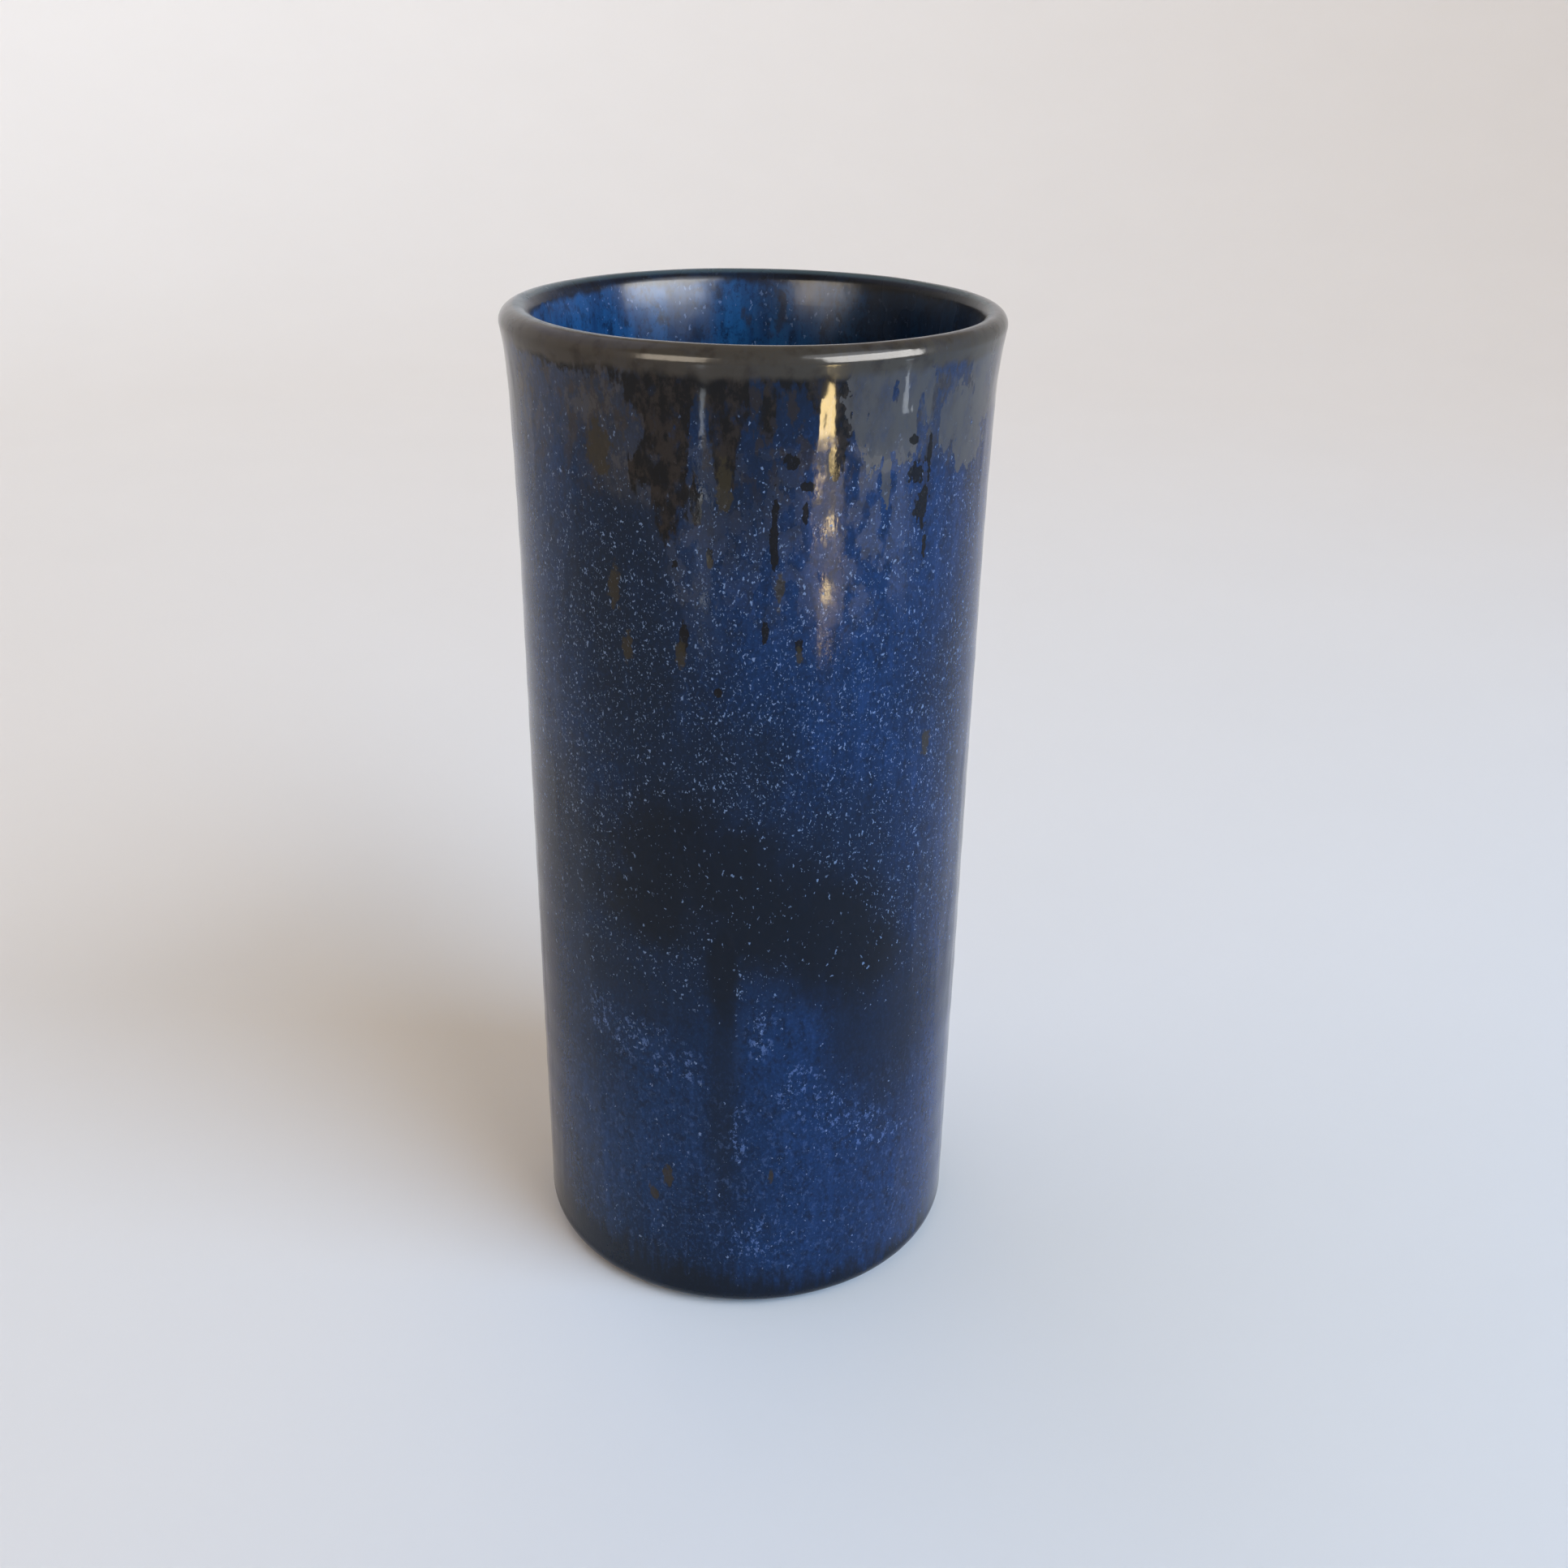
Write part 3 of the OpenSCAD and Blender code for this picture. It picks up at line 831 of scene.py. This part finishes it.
def build_melt(name, outside=True, inside=True):
    """The whole pattern, or one side of it: a colour, a roughness and a relief."""
    tree = bpy.data.node_groups.new(name, "ShaderNodeTree")
    for label, kind in (("Colour", "NodeSocketColor"), ("Roughness", "NodeSocketFloat"),
                        ("Relief", "NodeSocketFloat")):
        tree.interface.new_socket(label, in_out="OUTPUT", socket_type=kind)
    net = Net(tree)
    place = Place(net)
    satin = place.texture(0.12, 0.06, detail=2)
    if inside:
        colour = inside_colour(net, place)
        rough = net.ramp(satin, 0.35, 0.65, 0.20, 0.28)
    if outside:
        outer, spots, glassy, lip = outside_colour(net, place)
        outer_rough = outside_roughness(net, place, satin, spots, glassy, lip)
        if inside:
            colour = net.blend(place.outside, colour, outer)
            lip = net.times(lip, net.ramp(place.outside, 0.0, 0.4))
            colour = lip_colour(net, place, colour, lip)
            back_side = net.math("SUBTRACT", 1.0, place.outside)
            rough = net.total(net.times(outer_rough, place.outside), net.times(rough, back_side))
        else:
            colour, rough = outer, outer_rough
    peel = place.texture(0.35, 0.22, detail=2)
    grit = place.texture(1.5, 1.0, detail=2)
    uneven = net.times(peel, net.ramp(place.z, 183, 186, 0.7, 1.5))
    relief = net.total(uneven, net.times(grit, net.ramp(place.z, 177, 171, 0.08, 0.6)))
    result = net.add("NodeGroupOutput")
    for socket, value in zip(result.inputs, (colour, rough, relief)):
        net.feed(socket, value)
    print(name, "has", len(tree.nodes), "nodes")
    return tree


# %% One glaze material for each coat
GLAZE_IOR = 1.28
SHEEN, SHEEN_ROUGHNESS, SHEEN_TINT = 0.10, 0.35, (0.85, 0.90, 1.0, 1)
GLAZE_BUMP, GLAZE_RELIEF = 0.30, 0.12 * MM


def new_material(name):
    material = bpy.data.materials.new(name)
    material.use_nodes = True
    net = Net(material.node_tree)
    shader = material.node_tree.nodes["Principled BSDF"]
    return material, net, shader


def glaze_material(name, melt):
    material, net, shader = new_material(name)
    pattern = net.add("ShaderNodeGroup", node_tree=melt).outputs
    net.feed(shader.inputs["Base Color"], pattern["Colour"])
    net.feed(shader.inputs["Roughness"], pattern["Roughness"])
    bump = net.add("ShaderNodeBump", {"Strength": GLAZE_BUMP, "Distance": GLAZE_RELIEF,
                                      "Height": pattern["Relief"]})
    net.feed(shader.inputs["Normal"], bump.outputs[0])
    shader.inputs["IOR"].default_value = GLAZE_IOR
    shader.inputs["Sheen Weight"].default_value = SHEEN
    shader.inputs["Sheen Roughness"].default_value = SHEEN_ROUGHNESS
    shader.inputs["Sheen Tint"].default_value = SHEEN_TINT
    return material


outer_finish = glaze_material("blue_outer_glaze", build_melt("outer_melt", inside=False))
inner_finish = glaze_material("blue_inner_glaze", build_melt("inner_melt", outside=False))
rim_finish = glaze_material("iron_rim_glaze", build_melt("rim_melt"))


# %% [markdown]
# ## Bare clay
# Under the vase the clay is bare. Iron-rich stoneware fires dark and warm, with darker specks of
# iron and pale grains of grog, and the turning tool leaves fine rings in it. The specks are the
# same kind of cells as the crystals, only rounder, and the rings are a sine of the radius.

# %% The clay material
CLAY_DARK, CLAY_PALE = (0.10, 0.062, 0.042, 1), (0.19, 0.125, 0.085, 1)
CLAY_IRON, CLAY_GROG = (0.018, 0.012, 0.010, 1), (0.36, 0.29, 0.21, 1)
CLAY_BUMP, CLAY_RELIEF = 0.6, 0.1 * MM


def clay_material():
    material, net, shader = new_material("fired_clay")
    place = Place(net)
    body = net.noise(net.scaled(place.mm, 0.12, 0.12, 0.12), detail=4)
    colour = net.blend(net.ramp(body, 0.35, 0.65), CLAY_DARK, CLAY_PALE)
    iron = slivers(net, place, size=1.6, longer=1.0, reach=0.34, density=0.30)
    grog = slivers(net, place, size=1.1, longer=1.0, reach=0.34, density=0.20, seed=9.0)
    colour = net.blend(net.times(iron, 0.85), colour, CLAY_IRON)
    colour = net.blend(net.times(grog, 0.6), colour, CLAY_GROG)
    net.feed(shader.inputs["Base Color"], colour)
    tooling = net.math("SINE", net.times(place.radius, 9.0))
    grit = net.noise(net.scaled(place.mm, 2.2, 2.2, 2.2), detail=4)
    relief = net.total(net.times(tooling, 0.25), grit, net.times(iron, 0.4))
    bump = net.add("ShaderNodeBump", {"Strength": CLAY_BUMP, "Distance": CLAY_RELIEF,
                                      "Height": relief})
    net.feed(shader.inputs["Normal"], bump.outputs[0])
    net.feed(shader.inputs["Roughness"], net.ramp(grit, 0.3, 0.7, 0.72, 0.92))
    return material


clay_finish = clay_material()
print("clay finish has", len(clay_finish.node_tree.nodes), "nodes")


# %% [markdown]
# ## The clay body
# Wall, floor and foot ring are one piece. Its outline starts in the middle of the underside,
# goes round the foot, up the outside, over the lip, down the inside and ends in the middle of
# the floor. Most of it lies under glaze, so only the foot gets close rows of points.

# %% Turn the clay body
HIDDEN_STEP, HIDDEN_FLOOR_STEP = 6 * MM, 4 * MM


def clay_outline():
    ring_inner = FOOT_CENTRE[0] - RING_WIDTH
    cove = [(ring_inner - COVE * (1 - math.cos(a)), FOOT_RECESS * math.sin(a), 0.0)
            for a in spread(math.pi / 2, 0, math.radians(10))]
    under = [(r, FOOT_RECESS, 0.0) for r in spread(0, ring_inner - COVE, 1 * MM)]
    ring = [(r, 0.0, 0.0) for r in spread(ring_inner, FOOT_CENTRE[0], 1 * MM)]
    return joined(
        under, cove, ring, foot_line(math.pi / 2, COAT_END, 8), foot_line(COAT_END, 0, 6),
        outer_line(FOOT_ROUNDING, WALL_TOP, HIDDEN_STEP, COAT), lip_line(LIP_RADIUS - COAT, 15),
        inner_line(WALL_TOP, CORNER_TOP, HIDDEN_STEP, COAT), corner_line(8),
        floor_line(FLOOR_TOP, CORNER_CENTRE[0], 0.0, HIDDEN_FLOOR_STEP),
    )


clay = turned("clay_body", clay_outline(), clay_finish, closed_loop=False, Turns=256)

# %% [markdown]
# ## The three coats
# Each coat is a thin closed shell: its shiny face, and the face that lies on the clay. Pouring
# glaze leaves a bead along the lower edge, and that edge is never quite level. Solidify could
# thicken one face, but it can't shape the bead or deepen the pool on the floor. So each coat gets
# an outline of its own, with close rows on its shiny face and few on its hidden one.

# %% Turn the outer coat
FACE_STEP, LIP_STEP = 1.5 * MM, 0.6 * MM
HIDDEN_LIP_STEP = 2 * MM
RUN_HEIGHT, COAT_EDGE = 0.09, 0.12


def outer_outline():
    bead = []
    for stop in foot_line(COAT_END, 0, 14, foot_coat):
        low = min(1.0, (FOOT_ROUNDING - stop[1]) / FOOT_ROUNDING)
        bead.append(stop + (math.sin(low * math.pi / 2),))
    return joined(
        bead, outer_line(FOOT_ROUNDING, RIM_LINE_OUTSIDE, FACE_STEP),
        outer_line(RIM_LINE_OUTSIDE, FOOT_ROUNDING, HIDDEN_STEP, COAT),
        foot_line(0, COAT_END, 6)[:-1],
    )


outer_coat = turned("outer_coat", outer_outline(), outer_finish, Run_height=RUN_HEIGHT,
                    Uneven_coat_edge=COAT_EDGE)


# %% Turn the inner coat
def inner_outline():
    pool = FLOOR_TOP + POOL_DEPTH
    return joined(
        inner_line(RIM_LINE_INSIDE, CORNER_TOP, FACE_STEP), corner_line(10, corner_coat),
        floor_line(pool, CORNER_CENTRE[0], 0.0),
        floor_line(FLOOR_TOP, 0.0, CORNER_CENTRE[0], HIDDEN_FLOOR_STEP),
        corner_line(6)[::-1], inner_line(CORNER_TOP, RIM_LINE_INSIDE, HIDDEN_STEP, COAT),
    )


inner_coat = turned("inner_coat", inner_outline(), inner_finish)


# %% Turn the coat over the lip
def rim_outline():
    return joined(
        outer_line(RIM_LINE_OUTSIDE, WALL_TOP, LIP_STEP), lip_line(LIP_RADIUS, 6),
        inner_line(WALL_TOP, RIM_LINE_INSIDE, LIP_STEP),
        inner_line(RIM_LINE_INSIDE, WALL_TOP, HIDDEN_LIP_STEP, COAT),
        lip_line(LIP_RADIUS - COAT, 15)[::-1],
        outer_line(WALL_TOP, RIM_LINE_OUTSIDE, HIDDEN_LIP_STEP, COAT),
    )


rim_coat = turned("rim_coat", rim_outline(), rim_finish, Run_height=RUN_HEIGHT)


# %% [markdown]
# ## Floor and light
# A plain pale floor that curves up all round, far away, so that no horizon shows from any side.
# The light is soft: a broad window on the right in front, and weaker light from the left and
# behind. The room is warm and the window is cool, which is why the shadow looks brown.

# %% Floor
FLOOR_TONES = (0.79, 0.79, 0.79, 1), (0.81, 0.81, 0.81, 1)


def pale_material():
    material, net, shader = new_material("pale_floor")
    place = Place(net)
    tone = place.texture(0.012, 0.012, detail=2)
    colour = net.blend(tone, *FLOOR_TONES)
    net.feed(shader.inputs["Base Color"], colour)
    shader.inputs["Roughness"].default_value = 1.0
    shader.inputs["Specular IOR Level"].default_value = 0.0
    return material


FLAT_FLOOR, FLOOR_EDGE, FLOOR_CURVE, FLOOR_STEP = 0.9, 3.0, 0.42, 0.1


def build_floor(around=96):
    """A flat disc that curves up like a very wide bowl."""
    radii = [0.2, 0.5] + spread(FLAT_FLOOR, FLOOR_EDGE, FLOOR_STEP)
    points = [(0, 0, 0)]
    for radius in radii:
        height = FLOOR_CURVE * max(0, radius - FLAT_FLOOR) ** 2
        points += [(radius * math.cos(a), radius * math.sin(a), height)
                   for a in [2 * math.pi * k / around for k in range(around)]]
    faces = [(0, 1 + k, 1 + (k + 1) % around) for k in range(around)]
    for ring in range(len(radii) - 1):
        for k in range(around):
            a, b = 1 + ring * around + k, 1 + ring * around + (k + 1) % around
            faces.append((a, a + around, b + around, b))
    mesh = bpy.data.meshes.new("floor")
    mesh.from_pydata(points, [], faces)
    mesh.shade_smooth()
    mesh.materials.append(pale_material())
    floor = bpy.data.objects.new("floor", mesh)
    bpy.context.scene.collection.objects.link(floor)
    return floor


print("floor faces:", len(build_floor().data.polygons))


# %% Lights
def direction(degrees_round, degrees_up):
    """A direction by degrees round from the front towards the right, and degrees up."""
    turn, rise = math.radians(degrees_round), math.radians(degrees_up)
    ahead = math.cos(rise)
    return Vector((math.sin(turn) * ahead, -math.cos(turn) * ahead, math.sin(rise)))


def place_light(name, data, place, target, shiny_only=False, soft_only=False):
    light = bpy.data.objects.new(name, data)
    light.location = place
    light.rotation_euler = (Vector(target) - Vector(place)).to_track_quat("-Z", "Y").to_euler()
    light.visible_camera = False
    light.visible_diffuse = not shiny_only
    light.visible_glossy = not soft_only
    bpy.context.scene.collection.objects.link(light)


def far_light(name, degrees_round, degrees_up, width, colour, strength, soft_only=False):
    """Light from a broad patch of the room, the same everywhere, width degrees across."""
    data = bpy.data.lights.new(name, "SUN")
    data.angle = math.radians(width)
    data.energy = strength
    data.color = colour
    place_light(name, data, direction(degrees_round, degrees_up), (0, 0, 0), soft_only=soft_only)


def panel_light(name, place, target, size, colour, radiance, spread=180, **kind):
    """A glowing rectangle. Its power follows from how bright it looks."""
    data = bpy.data.lights.new(name, "AREA")
    data.spread = math.radians(spread)
    data.shape = "RECTANGLE"
    data.size, data.size_y = size
    data.energy = radiance * math.pi * size[0] * size[1]
    data.color = colour
    place_light(name, data, place, target, **kind)


VASE_MIDDLE = (0, 0, 0.09)
far_light("window", 53, 32, width=48, colour=(0.91, 0.93, 1.0), strength=2.86)
far_light("left_wall", -115, 35, width=70, colour=(0.55, 0.66, 1.0), strength=0.90)
far_light("back_wall", 180, 35, width=60, colour=(1.0, 0.63, 0.18), strength=0.46,
          soft_only=True)
panel_light("window_glow", (0.85, -0.53, 0.45), VASE_MIDDLE, size=(0.9, 0.5),
            colour=(0.02, 0.46, 1.0), radiance=2.25, spread=110, soft_only=True)
panel_light("window_gleam", direction(54, 23) * 1.3, VASE_MIDDLE, size=(1.05, 0.85),
            colour=(1.0, 0.98, 0.95), radiance=30, shiny_only=True)
panel_light("lamp_gleam", direction(-35, 20) * 1.2, VASE_MIDDLE, size=(0.60, 0.65),
            colour=(1.0, 0.87, 0.70), radiance=15, shiny_only=True)

ROOM_COLOUR, ROOM_STRENGTH = (1.0, 0.79, 0.50, 1), 0.38
world = bpy.data.worlds.new("room")
bpy.context.scene.world = world
world.use_nodes = True
background = world.node_tree.nodes["Background"]
background.inputs["Color"].default_value = ROOM_COLOUR
background.inputs["Strength"].default_value = ROOM_STRENGTH
bpy.context.scene.view_settings.view_transform = "Standard"
print("lights:", sorted(light.name for light in bpy.data.lights))


# %% [markdown]
# A gloss shows narrow bright things too, such as the gap beside a curtain. Thin upright strips
# close in front give the gleams on the neck. They light nothing else, and can't be seen.

# %% Strips for the gleams
GLEAM_AWAY = 0.281
# degrees round, width, lower and upper end in metres, radiance, colour
GLEAMS = (
    (33.3, 0.013, 0.064, 0.105, 62, (1.0, 0.74, 0.34)),
    (-21.1, 0.012, 0.066, 0.100, 9, (0.85, 0.92, 1.0)),
    (69.6, 0.012, 0.074, 0.098, 9, (0.85, 0.92, 1.0)),
)
for turn, width, low, high, radiance, tint in GLEAMS:
    stand = direction(turn, 0) * GLEAM_AWAY + Vector((0, 0, (low + high) / 2))
    panel_light(f"gleam_{turn:.0f}", stand, (0, 0, stand.z), (width, high - low), tint, radiance,
                shiny_only=True)
print("gleam strips:", len(GLEAMS))

# %% [markdown]
# ## Hand over to the frame
# Each piece rides on the vase's one body and stands for its CAD node, which is hidden.

# %% Ride and replace
for piece, node, slot in (
    (clay, "stoneware_body", "fired_clay"),
    (outer_coat, "outer_glaze", "blue_outer_glaze"),
    (inner_coat, "inner_glaze", "blue_inner_glaze"),
    (rim_coat, "rim_glaze", "iron_rim_glaze"),
):
    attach(piece, "root")
    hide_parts(node)
